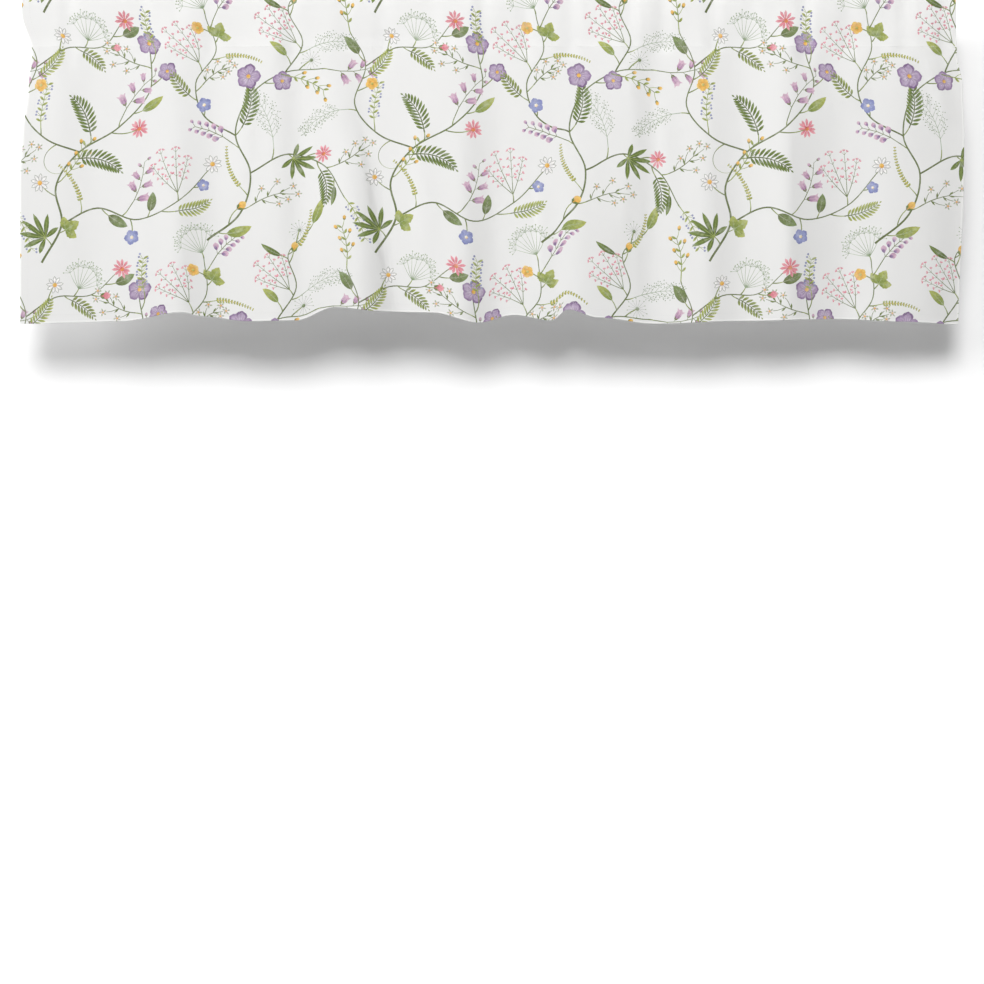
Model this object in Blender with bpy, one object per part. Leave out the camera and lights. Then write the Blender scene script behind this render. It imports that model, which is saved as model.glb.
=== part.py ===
"""Window valance with a rod pocket, as it hangs, gathered a little on a curtain rod.

One cut of printed cloth makes it. Its top is turned over to the back and sewn down along
one straight seam, which leaves the rod pocket, and the rest hangs below that seam as the
drop, in shallow upright folds down to a narrow hem. The pocket is a tube, open at both
ends, and is a solid of its own; the drop is one uneven sheet.

Frame: metres, +Z up, +X to the right along the rod, -Y towards the room.
The origin is the middle of the top edge, where the pocket bears on its rod.
"""

import math
from collections import namedtuple

import bmesh
import bpy

# Driving sizes, in millimetres: 18 inches deep, with a 3 inch rod pocket.
LENGTH = 457.0  # top edge to hem
POCKET = 76.0  # top edge to the seam
CLOTH = 1.2  # thickness of the solids
SEWN_GAP = 0.3  # between the pocket and the drop along the seam

# The rod pocket's section
ROD_BEND = 8.6  # radius of the cloth's middle where it turns over the rod
SEWN_HALF = 1.2  # half the spread of the two layers at the seam
DRAWN_IN = 1.5  # power with which the pocket starts to follow the folds

GATHER_HALF = 18.0  # half the width of each gather's trough
GATHER_STAND = 3.0  # how far the pocket stands off the rod between its gathers
VALLEY = -4.0  # Y that the folds stand forward of, a little before the rod's middle
FOOT_SOFT = 0.35  # how softly the cloth turns forward again at a fold's foot
ROUNDING = ((-11.0, 0.15), (-5.5, 0.22), (0.0, 0.26), (5.5, 0.22), (11.0, 0.15))  # (how far aside, share)

WELD = 0.01  # corners nearer each other than this are one
METRES = 0.001  # in a millimetre

# Counts of faces
COLUMNS = 118
DROP_ROWS = 10
SIDE_STEPS = 3  # up each layer of the pocket
BEND_STEPS = 6  # round the rod

Fold = namedtuple("Fold", "ridge flank forward foot crest")
Gather = namedtuple("Gather", "x deep below_seam")
Edge = namedtuple("Edge", "below_top left right")
Hem = namedtuple("Hem", "x lift")

# Each fold comes slowly forward from the left to its ridge and falls back over its flank,
# most steeply at the ridge where crest is 1, and at the flank's foot where it is 0. Each
# pair gives the ridge's X, the flank's width, and how far forward the ridge and the flank's
# foot stand, first at the seam and then at the hem.
FOLDS = [
    Fold(ridge=(-592, -600), flank=(36, 50), forward=(3.4, 1.6), foot=(0.5, 1.4), crest=0.4),
    Fold(ridge=(-433, -428), flank=(46, 49), forward=(3.8, 13.2), foot=(0.0, 3.6), crest=0.72),
    Fold(ridge=(-298, -292), flank=(27, 27), forward=(4.4, 9.8), foot=(0.3, 7.2), crest=0.3),
    Fold(ridge=(-229, -180), flank=(38, 42), forward=(2.6, 14.5), foot=(0.0, 1.2), crest=0.0),
    Fold(ridge=(-38, -36), flank=(42, 42), forward=(4.6, 11.5), foot=(0.0, 0.8), crest=0.65),
    Fold(ridge=(115, 121), flank=(72, 74), forward=(2.2, 9.2), foot=(4.4, 2.0), crest=0.3),
    Fold(ridge=(188, 187), flank=(32, 30), forward=(4.9, 2.8), foot=(-0.2, -1.5), crest=0.2),
    Fold(ridge=(297, 300), flank=(44, 46), forward=(3.2, 6.0), foot=(0.4, -1.4), crest=0.75),
    Fold(ridge=(409, 411), flank=(75, 75), forward=(7.4, 4.8), foot=(0.4, -7.8), crest=0.8),
    Fold(ridge=(563, 540), flank=(76, 105), forward=(4.2, -3.0), foot=(0.4, -13.6), crest=0.1),
]

# The troughs between the soft gathers that the rod pushes together, from left to right
GATHERS = [
    Gather(x=-582, deep=1.5, below_seam=60),
    Gather(x=-480, deep=0.8, below_seam=20),
    Gather(x=-432, deep=0.8, below_seam=45),
    Gather(x=-389, deep=1.0, below_seam=20),
    Gather(x=-279, deep=1.5, below_seam=50),
    Gather(x=-203, deep=0.8, below_seam=15),
    Gather(x=-150, deep=1.0, below_seam=50),
    Gather(x=-83, deep=0.8, below_seam=15),
    Gather(x=-12, deep=1.7, below_seam=35),
    Gather(x=46, deep=1.3, below_seam=25),
    Gather(x=108, deep=1.4, below_seam=25),
    Gather(x=190, deep=1.6, below_seam=30),
    Gather(x=236, deep=1.6, below_seam=15),
    Gather(x=303, deep=1.4, below_seam=15),
    Gather(x=358, deep=0.8, below_seam=15),
    Gather(x=431, deep=1.8, below_seam=40),
    Gather(x=490, deep=1.0, below_seam=15),
    Gather(x=567, deep=1.5, below_seam=20),
    Gather(x=622, deep=1.5, below_seam=30),
]

# The two side edges, which draw in at the seam
EDGES = [
    Edge(below_top=0, left=-646, right=636),
    Edge(below_top=30, left=-646, right=638),
    Edge(below_top=85, left=-633, right=640),
    Edge(below_top=130, left=-638, right=648),
    Edge(below_top=200, left=-646, right=651),
    Edge(below_top=260, left=-650, right=651),
    Edge(below_top=LENGTH, left=-650, right=645),
]

# How far the hem lifts, from left to right
HEM = [
    Hem(x=-650, lift=0),
    Hem(x=-510, lift=3),
    Hem(x=-426, lift=15),
    Hem(x=-400, lift=10),
    Hem(x=-335, lift=3),
    Hem(x=-270, lift=4),
    Hem(x=-216, lift=22),
    Hem(x=-160, lift=17),
    Hem(x=-82, lift=15),
    Hem(x=-19, lift=1),
    Hem(x=30, lift=12),
    Hem(x=82, lift=4),
    Hem(x=104, lift=19),
    Hem(x=146, lift=8),
    Hem(x=224, lift=0),
    Hem(x=356, lift=4),
    Hem(x=477, lift=7),
    Hem(x=572, lift=3),
    Hem(x=645, lift=0),
]

WHITE = (0.88, 0.88, 0.88, 1.0)
CLOTH_ROUGHNESS = 0.9


def smooth(share):
    """0 to 1 with a level start and end."""
    share = min(1.0, max(0.0, share))
    return share * share * (3.0 - 2.0 * share)


def mix(a, b, share):
    return a + (b - a) * share


def through(points, at):
    """A soft curve through (place, value) points, level at each of them."""
    if at <= points[0][0]:
        return points[0][1]
    for (x0, v0), (x1, v1) in zip(points, points[1:]):
        if at <= x1:
            return mix(v0, v1, smooth((at - x0) / (x1 - x0)))
    return points[-1][1]


def side_edge(below_top, side):
    return through([(edge.below_top, getattr(edge, side)) for edge in EDGES], below_top)


def across(share, below_top):
    """X of a place that is this share of the way from the left edge to the right one."""
    return mix(side_edge(below_top, "left"), side_edge(below_top, "right"), share)


def trough(x, below_seam):
    """How deep the gathers' troughs are at a place."""
    depth = 0.0
    for gather in GATHERS:
        across_it = smooth(1.0 - abs(x - gather.x) / GATHER_HALF)
        depth += gather.deep * across_it * smooth(1.0 - below_seam / gather.below_seam)
    return depth


def rise(share):
    """From 0 at a fold's foot to 1 at the next ridge, a little slower at the foot."""
    return mix(share, share * share * (2.0 - share), FOOT_SOFT)


def fall(share, crest):
    """From 1 at a ridge to 0 at its flank's foot."""
    return mix(1.0 - share * share, (1.0 - share) ** 2, crest)


def forward(x, down):
    """How far the folds bring the cloth forward, this share of the way down the drop."""
    foot = side_edge(LENGTH, "left")
    foot_level = 0.0
    for fold in FOLDS:
        ridge = mix(*fold.ridge, down)
        ridge_level = mix(*fold.forward, smooth(down))
        if x <= ridge:
            return mix(foot_level, ridge_level, rise(max(0.0, x - foot) / (ridge - foot)))
        flank = mix(*fold.flank, down)
        foot = ridge + flank
        foot_level = mix(*fold.foot, smooth(down))
        if x <= foot:
            return mix(foot_level, ridge_level, fall((x - ridge) / flank, fold.crest))
    return foot_level


def rounded(x, down):
    """The same, with the ridges and the feet of the folds rounded off."""
    return sum(share * forward(x + aside, down) for aside, share in ROUNDING)


def drop_y(x, down):
    """Y of the middle of the cloth at a place on the drop. Towards the room is negative."""
    below_seam = down * (LENGTH - POCKET)
    return VALLEY - rounded(x, down) + trough(x, below_seam)


def drop_place(share, down):
    """A point of the drop, from its shares of the way across and down."""
    top = POCKET + SEWN_GAP
    x = across(share, mix(top, LENGTH, down))
    lift = through([(point.x, point.lift) for point in HEM], x)
    return x, drop_y(x, down), -mix(top, LENGTH - lift, down)


def pocket_section():
    """The pocket's section as (half, sink): which way and how far it lies from the rod's
    middle plane, and how far below the top edge. It runs up the front, over the rod, and
    down the back."""
    foot = POCKET - CLOTH / 2
    middle = CLOTH / 2 + ROD_BEND
    side = []
    for step in range(SIDE_STEPS):
        share = step / SIDE_STEPS
        side.append((mix(SEWN_HALF, ROD_BEND, smooth(share)), mix(foot, middle, share)))
    bend = []
    for step in range(BEND_STEPS + 1):
        turn = math.pi * step / BEND_STEPS
        bend.append((-ROD_BEND * math.cos(turn), middle - ROD_BEND * math.sin(turn)))
    front = [(-half, sink) for half, sink in side]
    back = [(half, sink) for half, sink in reversed(side)]
    return front + bend + back


def pocket_place(share, half, sink):
    """A point of the pocket, which follows the folds more the nearer it is to the seam."""
    x = across(share, sink)
    rod_middle = CLOTH / 2 + ROD_BEND
    drawn = max(0.0, (sink - rod_middle) / (POCKET - rod_middle)) ** DRAWN_IN
    stand = max(0.0, GATHER_STAND - trough(x, 0.0)) * half / ROD_BEND * (1.0 - drawn)
    return x, drawn * drop_y(x, 0.0) + half + stand, -sink


def cloth_object(name, lay_sheet):
    """A solid of the cloth's thickness about the sheet that lay_sheet makes."""
    sheet = bmesh.new()
    lay_sheet(sheet)
    bmesh.ops.scale(sheet, vec=(METRES, METRES, METRES), verts=sheet.verts)
    mesh = bpy.data.meshes.new(name)
    sheet.to_mesh(mesh)
    sheet.free()
    mesh.shade_smooth()
    mesh.materials.append(white_cloth(name))
    cloth = bpy.data.objects.new(name, mesh)
    bpy.context.scene.collection.objects.link(cloth)
    thickness = cloth.modifiers.new("thickness", "SOLIDIFY")
    thickness.thickness = CLOTH * METRES
    thickness.offset = 0.0
    thickness.use_even_offset = True


def flat_grid(sheet, columns, rows):
    """A unit grid, and each of its corners with its shares of the way across and down."""
    bmesh.ops.create_grid(sheet, x_segments=columns, y_segments=rows, size=0.5)
    return [(corner, corner.co.x + 0.5, 0.5 - corner.co.y) for corner in sheet.verts]


def lay_drop(sheet):
    for corner, share, down in flat_grid(sheet, COLUMNS, DROP_ROWS):
        corner.co = drop_place(share, down)


def lay_pocket(sheet):
    section = pocket_section()
    for corner, share, turn in flat_grid(sheet, COLUMNS, len(section)):
        half, sink = section[round(turn * len(section)) % len(section)]
        corner.co = pocket_place(share, half, sink)
    bmesh.ops.remove_doubles(sheet, verts=sheet.verts, dist=WELD)


def white_cloth(name):
    made = bpy.data.materials.new(name + "_cloth")
    made.use_nodes = True
    surface = made.node_tree.nodes["Principled BSDF"]
    surface.inputs["Base Color"].default_value = WHITE
    surface.inputs["Roughness"].default_value = CLOTH_ROUGHNESS
    surface.inputs["Metallic"].default_value = 0.0
    return made


def main():
    for old in list(bpy.data.objects):
        bpy.data.objects.remove(old)
    cloth_object("rod_pocket", lay_pocket)
    cloth_object("drop_panel", lay_drop)


main()
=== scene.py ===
"""Looks of the printed window valance: its cloth, print, stitching, light and camera.

The flat cloth is measured in millimetres: across it from its left edge, and up from the
fold at the top of the rod pocket, so that the drop lies at negative heights. The print
and the weave are laid on the flat cloth, which then hangs in the folds of the solids.
"""

import itertools
import math
import random
from collections import namedtuple
from functools import partial

import bpy
import numpy as np
from mathutils import Matrix, Vector
from mathutils.geometry import delaunay_2d_cdt


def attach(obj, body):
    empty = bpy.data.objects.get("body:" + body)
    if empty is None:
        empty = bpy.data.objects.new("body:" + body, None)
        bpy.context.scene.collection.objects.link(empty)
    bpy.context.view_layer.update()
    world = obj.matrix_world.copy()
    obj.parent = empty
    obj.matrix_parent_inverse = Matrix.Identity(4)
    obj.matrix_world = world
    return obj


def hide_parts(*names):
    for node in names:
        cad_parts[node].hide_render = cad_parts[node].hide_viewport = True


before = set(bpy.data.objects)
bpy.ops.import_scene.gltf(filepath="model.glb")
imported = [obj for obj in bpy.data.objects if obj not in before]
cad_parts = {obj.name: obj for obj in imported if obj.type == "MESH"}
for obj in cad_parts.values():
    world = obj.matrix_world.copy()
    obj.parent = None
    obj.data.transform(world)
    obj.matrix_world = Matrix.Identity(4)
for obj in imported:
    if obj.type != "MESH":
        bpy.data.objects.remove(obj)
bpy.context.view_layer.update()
bpy.ops.object.select_all(action="DESELECT")
scene = bpy.context.scene

METRES = 0.001  # in a millimetre

# The cloth, in millimetres
FLAT_WIDTH = 1320.0
LENGTH = 457.0  # top edge to hem
POCKET = 76.0  # top edge to the seam
CLOTH = 0.5  # thickness of one layer
TURNED = 0.8  # how much thicker it is where an edge is turned in twice
TURN = 12.0  # depth of those turned edges
ROD_BEND = 9.2  # radius of the cloth's outer face over the rod
SIDE = POCKET - ROD_BEND  # each upright side of the pocket
OVER = math.pi * ROD_BEND  # the way over the rod
POCKET_PATH = 2 * SIDE + OVER  # from the seam in front, over the rod, to the seam behind
BACK_FOOT = 1.45  # how far behind the drop the pocket's back layer is sewn down
DRAWN_IN = 1.5  # power with which the pocket starts to follow the folds
SEAM_GAP = 0.02  # between the pocket's edge and the drop's, along the stitches

GATHER_HALF = 18.0  # half the width of each gather's trough
GATHER_STAND = 3.0  # how far the pocket stands off the rod between its gathers
VALLEY = -4.0  # Y that the folds stand forward of
FOOT_SOFT = 0.35  # how softly the cloth turns forward again at a fold's foot
# The places whose mean rounds a fold off: how far aside, and the share of each
ROUNDING = ((-11.0, 0.15), (-5.5, 0.22), (0.0, 0.26), (5.5, 0.22), (11.0, 0.15))

PINCH = 0.25  # how deep the stitches draw the cloth in along the seam
PINCH_HALF = 4.0
PUCKER = 9.0  # from one small pucker beside the seam to the next
PUCKER_UNEVEN = 0.35  # how much deeper or shallower a pucker is than the rest
PUCKER_DRIFT = 31.0  # over what width their spacing changes

MERGE = 1e-4  # corners nearer each other than this are one
ON_EDGE = 100 * MERGE  # corners nearer to an area's edge than this lie on it

Fold = namedtuple("Fold", "ridge flank forward foot crest")
Gather = namedtuple("Gather", "x deep below_seam")
Crease = namedtuple("Crease", "x_top top x_foot foot left right height")

# The same folds, gathers, edges and hem as the solids have.
# Each fold comes slowly forward from the left to its ridge and falls back over its flank,
# most steeply at the ridge where crest is 1, and at the flank's foot where it is 0. The pairs
# are the ridge's X, the flank's width, and how far forward the ridge and the flank's foot
# stand, each first at the seam and then at the hem.
FOLDS = [Fold(*row) for row in (
    ((-592, -600), (36, 50), (3.4, 1.6), (0.5, 1.4), 0.4),
    ((-433, -428), (46, 49), (3.8, 13.2), (0.0, 3.6), 0.72),
    ((-298, -292), (27, 27), (4.4, 9.8), (0.3, 7.2), 0.3),
    ((-229, -180), (38, 42), (2.6, 14.5), (0.0, 1.2), 0.0),
    ((-38, -36), (42, 42), (4.6, 11.5), (0.0, 0.8), 0.65),
    ((115, 121), (72, 74), (2.2, 9.2), (4.4, 2.0), 0.3),
    ((188, 187), (32, 30), (4.9, 2.8), (-0.2, -1.5), 0.2),
    ((297, 300), (44, 46), (3.2, 6.0), (0.4, -1.4), 0.75),
    ((409, 411), (75, 75), (7.4, 4.8), (0.4, -7.8), 0.8),
    ((563, 540), (76, 105), (4.2, -3.0), (0.4, -13.6), 0.1),
)]

# Each gather's X, how deep its trough is, and how far below the seam that ends
GATHERS = [Gather(*row) for row in (
    (-582, 1.5, 60), (-480, 0.8, 20), (-432, 0.8, 45), (-389, 1.0, 20), (-279, 1.5, 50),
    (-203, 0.8, 15), (-150, 1.0, 50), (-83, 0.8, 15), (-12, 1.7, 35), (46, 1.3, 25),
    (108, 1.4, 25), (190, 1.6, 30), (236, 1.6, 15), (303, 1.4, 15), (358, 0.8, 15),
    (431, 1.8, 40), (490, 1.0, 15), (567, 1.5, 20), (622, 1.5, 30),
)]

# The side edges: how far below the top, and X there
LEFT_EDGE = ((0, -646), (30, -646), (85, -633), (130, -638), (200, -646), (260, -650), (LENGTH, -650))
RIGHT_EDGE = ((0, 636), (30, 638), (85, 640), (130, 648), (200, 651), (260, 651), (LENGTH, 645))

# The hem: X, and how far it is lifted there
HEM = (
    (-650, 0), (-510, 3), (-426, 15), (-400, 10), (-335, 3), (-270, 4), (-216, 22), (-160, 17),
    (-82, 15), (-19, 1), (30, 12), (82, 4), (104, 19), (146, 8), (224, 0), (356, 4), (477, 7),
    (572, 3), (645, 0),
)

# Smaller creases of the drop: X and depth of the top, X and depth of the foot, how far each
# spreads to its left and its right, and how far it stands forward
CREASES = [Crease(*row) for row in (
    (-190, 180, -145, 452, 42, 9, 2.5),
    (406, 130, 408, 452, 40, 16, 1.0),
    (184, 200, 182, 360, 30, 15, 0.7),
    (604, 220, 600, 475, 60, 60, 1.8),
    (66, 250, 67, 440, 10, 26, 1.0),
    (592, 77, 632, 190, 14, 26, 1.6),
    (503, 77, 500, 170, 40, 24, 1.4),
    (-330, 110, -345, 300, 26, 18, 0.8),
    (232, 120, 246, 330, 16, 24, 0.8),
    (-100, 150, -92, 400, 20, 30, 0.8),
)]
CREASE_END = 0.3  # share of a crease's length over which it fades at each end

# The cloth's faint unevenness, as two waves across each other: the width and the height of
# each, how far it sways and over what height, how it slants, and its share
RIPPLE = 0.22
Wave = namedtuple("Wave", "across down sway sway_down slant share")
WAVES = Wave(23.0, 52.0, 1.7, 75.0, 140.0, 1.0), Wave(9.0, 83.0, 1.1, 31.0, -61.0, 0.35)


def smooth(share):
    """0 to 1 with a level start and end."""
    share = np.clip(share, 0.0, 1.0)
    return share * share * (3.0 - 2.0 * share)


def mix(a, b, share):
    return a + (b - a) * share


def through(points, at):
    """A soft curve through (place, value) points, level at each of them."""
    places, values = np.array(points, float).T
    at = np.clip(at, places[0], places[-1])
    step = np.clip(np.searchsorted(places, at) - 1, 0, len(places) - 2)
    share = (at - places[step]) / (places[step + 1] - places[step])
    return mix(values[step], values[step + 1], smooth(share))


def across_at(share, below_top):
    """X of a place that is this share of the way from the left edge to the right one."""
    return mix(through(LEFT_EDGE, below_top), through(RIGHT_EDGE, below_top), share)


def trough(x, below_seam):
    """How deep the gathers' troughs are at a place."""
    depth = 0.0
    for gather in GATHERS:
        beside = smooth(1.0 - np.abs(x - gather.x) / GATHER_HALF)
        depth = depth + gather.deep * beside * smooth(1.0 - below_seam / gather.below_seam)
    return depth


def rise(share):
    """From 0 at a fold's foot to 1 at the next ridge, a little slower at the foot."""
    return mix(share, share * share * (2.0 - share), FOOT_SOFT)


def fall(share, crest):
    """From 1 at a ridge to 0 at its flank's foot."""
    return mix(1.0 - share * share, (1.0 - share) ** 2, crest)


def forward(x, down):
    """How far the folds bring the cloth forward, this share of the way down the drop."""
    out = np.zeros_like(x)
    foot = np.full_like(x, LEFT_EDGE[-1][1])
    foot_level = 0.0
    for fold in FOLDS:
        ridge = mix(*fold.ridge, down)
        ridge_level = mix(*fold.forward, smooth(down))
        climbing = (x > foot) & (x <= ridge)
        share = np.where(climbing, x - foot, 0.0) / np.maximum(ridge - foot, MERGE)
        out = np.where(climbing, mix(foot_level, ridge_level, rise(share)), out)
        flank = mix(*fold.flank, down)
        foot = ridge + flank
        foot_level = mix(*fold.foot, smooth(down))
        falling = (x > ridge) & (x <= foot)
        share = fall((x - ridge) / flank, fold.crest)
        out = np.where(falling, mix(foot_level, ridge_level, share), out)
    return np.where(x > foot, foot_level, out)


def rounded(x, down):
    """The same, with the ridges and the feet of the folds rounded off."""
    return sum(share * forward(x + aside, down) for aside, share in ROUNDING)


def crease(x, below_top):
    """How far the small creases bring the cloth forward."""
    out = 0.0
    for row in CREASES:
        share = (below_top - row.top) / (row.foot - row.top)
        beside = x - mix(row.x_top, row.x_foot, np.clip(share, 0.0, 1.0))
        spread = np.where(beside < 0.0, row.left, row.right)
        steep = smooth(1.0 - np.abs(beside) / spread)
        out = out + row.height * steep * smooth(share / CREASE_END) * smooth((1.0 - share) / CREASE_END)
    return out


def ripple(x, below_top):
    return RIPPLE * sum(
        wave.share * (np.sin(x / wave.across + wave.sway * np.sin(below_top / wave.sway_down))
                      * np.sin(below_top / wave.down + x / wave.slant))
        for wave in WAVES)


def pinch(x, below_top):
    """How deep the cloth is drawn in beside the seam."""
    beside = smooth(1.0 - np.abs(below_top - POCKET) / PINCH_HALF)
    uneven = PUCKER_UNEVEN * np.sin(2 * math.pi * x / PUCKER + np.sin(x / PUCKER_DRIFT))
    return PINCH * beside * (1.0 + uneven)


def drop_y(x, down):
    """Y of the cloth's face at a place on the drop. Towards the room is negative."""
    return VALLEY - rounded(x, down) + trough(x, down * (LENGTH - POCKET))


def drop_place(across, up):
    """The place in the hung drop of a place on the flat cloth."""
    below = -up
    down = (below - POCKET) / (LENGTH - POCKET)
    x = across_at(across / FLAT_WIDTH, below)
    y = drop_y(x, down) - crease(x, below) + ripple(x, below) + pinch(x, below)
    return np.column_stack((x, y, -mix(POCKET, LENGTH - through(HEM, x), down)))


def pocket_place(across, up):
    """The place in the rod pocket of a place on the flat cloth."""
    along = up + POCKET
    turn = np.clip((along - SIDE) / ROD_BEND, 0.0, math.pi)
    behind = along > SIDE + OVER
    side_share = np.where(behind, (POCKET_PATH - along) / SIDE, along / SIDE)
    upright = (along < SIDE) | behind
    foot = np.where(behind, BACK_FOOT, 0.0)
    standing = np.where(behind, 1.0, -1.0) * mix(foot, ROD_BEND, smooth(side_share))
    half = np.where(upright, standing, -ROD_BEND * np.cos(turn))
    sink = np.where(upright, POCKET - side_share * SIDE, ROD_BEND - ROD_BEND * np.sin(turn))
    x = across_at(across / FLAT_WIDTH, sink)
    drawn_back = np.maximum(0.0, (sink - ROD_BEND) / SIDE) ** DRAWN_IN
    stand = np.maximum(0.0, GATHER_STAND - trough(x, 0.0)) * half / ROD_BEND * (1.0 - drawn_back)
    y = drawn_back * drop_y(x, 0.0) + half + stand + ripple(x, sink)
    return np.column_stack((x, y + np.where(behind, 0.0, pinch(x, sink)), -sink))


# A printed shape: its outline in millimetres, and the two places between which its colour runs
Shape = namedtuple("Shape", "outline root tip root_colour tip_colour")
# A stem of the print: where it runs, how thick it is at its two ends, and what grows from it
Stem = namedtuple("Stem", "route thick thin sprigs")

REPEAT_ACROSS = 468.0
REPEAT_DOWN = 344.0
LINE_WEIGHT = 1.35  # how much heavier every line is drawn

OLIVE = (0.42, 0.46, 0.30)
STEM_GREEN = (0.47, 0.52, 0.35)
MOSS = (0.36, 0.42, 0.25)
LEAF_GREEN = (0.49, 0.56, 0.30)
FRESH_GREEN = (0.61, 0.66, 0.36)
LIME = (0.72, 0.74, 0.42)
SAGE = (0.56, 0.63, 0.50)
PALE_SAGE = (0.70, 0.75, 0.63)
PURPLE = (0.47, 0.36, 0.52)
LILAC = (0.66, 0.57, 0.70)
MAUVE = (0.70, 0.54, 0.67)
SHELL = (0.86, 0.74, 0.80)
ROSE = (0.84, 0.40, 0.47)
BLUSH = (0.91, 0.66, 0.69)
BLUE = (0.50, 0.52, 0.72)
SKY = (0.67, 0.70, 0.84)
AMBER = (0.88, 0.62, 0.25)
BUTTER = (0.93, 0.80, 0.48)
SLATE = (0.56, 0.57, 0.69)
MILK = (0.985, 0.98, 0.97)
SHADE = (0.74, 0.72, 0.74)

drawn = []
rng = random.Random(11)


def ahead(place, heading, forward, aside=0.0):
    """The place this far ahead, and to the left, of another one."""
    x = place[0] + forward * math.cos(heading) - aside * math.sin(heading)
    y = place[1] + forward * math.sin(heading) + aside * math.cos(heading)
    return x, y


def blend(a, b, share):
    return tuple(p + (q - p) * share for p, q in zip(a, b))


def ink(outline, root, tip, root_colour, tip_colour):
    drawn.append(Shape(outline, root, tip, root_colour, tip_colour))


def bow(place, heading, length, bend, steps):
    """Places and headings along an arc of this length that turns by bend in all."""
    path = [(place, heading)]
    for step in range(steps):
        turned = heading + bend * (step + 0.5) / steps
        place = ahead(place, turned, length / steps)
        path.append((place, heading + bend * (step + 1) / steps))
    return path


def ribbon(path, halves, tip=()):
    """The outline of a band along a path, this far to both its sides, round a tip."""
    left, right = ([ahead(*spot, 0, side * half) for spot, half in zip(path, halves)] for side in (1, -1))
    return right + list(tip) + left[::-1]


def stroke(path, thick, thin, colour, end_colour=None):
    """A tapering line along places with headings."""
    steps = len(path) - 1
    halves = [LINE_WEIGHT * (thick + (thin - thick) * step / steps) / 2 for step in range(steps + 1)]
    ink(ribbon(path, halves), path[0][0], path[-1][0], colour, end_colour or colour)


def line(place, heading, length, thick, thin, colours):
    """A straight tapering line. Gives the place of its end."""
    tip = ahead(place, heading, length)
    stroke([(place, heading), (tip, heading)], thick, thin, *colours)
    return tip


def stalk(place, heading, length, bend, steps, thick, thin, *colours):
    """A curved stalk. Gives the place and heading of its end."""
    path = bow(place, heading, length, bend, steps)
    stroke(path, thick, thin, *colours)
    return path[-1]


def twig(place, heading, length, bend, knots, thick, thin, *colours):
    """A longer stalk. Gives the number, place and heading of each of its knots."""
    path = bow(place, heading, length, bend, knots)
    stroke(path[::2], thick, thin, *colours)
    return [(step, spot, turned) for step, (spot, turned) in enumerate(path)]


def blade(place, heading, length, width, colours, bend=0.0, full=0.45, steps=6):
    """A petal or leaf, widest at full of its length, that curls by bend."""
    path = bow(place, heading, length, bend, steps)
    power = math.log(0.5) / math.log(full)
    bulge = [max(0.0, math.sin(math.pi * (step / steps) ** power)) for step in range(1, steps)]
    halves = [width / 2 * out ** 0.75 for out in bulge]
    tip = path[-1][0]
    ink([place] + ribbon(path[1:-1], halves, [tip]), place, tip, *colours)
    return path


def fleck(place, heading, length, width, colours):
    """A petal or seed too small to need rounding."""
    tip = ahead(place, heading, length)
    right = ahead(place, heading, length * 0.55, -width / 2)
    left = ahead(place, heading, length * 0.55, width / 2)
    ink([place, right, tip, left], place, tip, *colours)


def dot(place, radius, colours, sides=6):
    """A small disc, whose colour runs from its lower right to its upper left."""
    outline = [ahead(place, 2 * math.pi * side / sides, radius) for side in range(sides)]
    ink(outline, ahead(place, -0.8, radius), ahead(place, 2.3, radius), *colours)


def whorl(heading, count, loose=0.0):
    """The headings of petals round a middle, each out of place by loose at most."""
    for step in range(count):
        yield heading + 2 * math.pi * step / count + (rng.uniform(-loose, loose) if loose else 0.0)


def cranesbill(place, heading, size):
    """A violet bloom of five wide petals."""
    for step in (0, 3, 1, 4, 2):
        turned = heading + 2 * math.pi * step / 5 + rng.uniform(-0.12, 0.12)
        deep = PURPLE if step in (0, 3) else blend(PURPLE, LILAC, 0.45)
        blade(place, turned, size * 0.52, size * 0.47, (blend(deep, MILK, 0.4), deep), 0.0, 0.62, 6)
        blade(ahead(place, turned, size * 0.05), turned, size * 0.4, size * 0.3,
              (blend(LILAC, MILK, 0.45), LILAC), 0.0, 0.6, 5)
        for splay in (-0.2, 0.2):
            line(ahead(place, turned + splay, size * 0.07), turned + splay, size * 0.25, size * 0.02,
                 size * 0.006, (PURPLE, LILAC))
    dot(place, size * 0.09, (BUTTER, AMBER), 7)


def aster(place, heading, size):
    """A pink bloom of many narrow petals."""
    for turned in whorl(heading, 11, 0.1):
        reach = size * rng.uniform(0.44, 0.54)
        blade(place, turned, reach, size * 0.15, (ROSE, BLUSH), rng.uniform(-0.2, 0.2), 0.68, 4)
    dot(place, size * 0.12, (AMBER, ROSE))


def forget_me_not(place, heading, size):
    """A small blue bloom with a line down each petal."""
    for turned in whorl(heading, 5):
        blade(place, turned, size * 0.5, size * 0.44, (SKY, BLUE), 0.0, 0.62, 5)
        line(place, turned, size * 0.3, size * 0.03, size * 0.01, (BLUE, SKY))
    dot(place, size * 0.12, (BUTTER, MILK), 5)


def daisy(place, heading, size):
    """A white bloom, seen by the grey of its petals' edges, with an amber middle."""
    for turned in whorl(heading, 9, 0.08):
        blade(place, turned, size * 0.54, size * 0.22, (SHADE, blend(SHADE, SAGE, 0.4)), 0.0, 0.62, 4)
        blade(ahead(place, turned, size * 0.05), turned, size * 0.44, size * 0.14,
              (blend(MILK, SHADE, 0.35), MILK), 0.0, 0.62, 4)
    dot(place, size * 0.14, (AMBER, BUTTER), 7)


def cup(place, heading, size):
    """A buttercup of overlapping round petals, seen from above."""
    for turned in whorl(heading, 5):
        blade(place, turned + 0.3, size * 0.5, size * 0.46, (AMBER, BUTTER), 0.0, 0.64, 5)
    dot(place, size * 0.13, (FRESH_GREEN, BUTTER))


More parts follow.
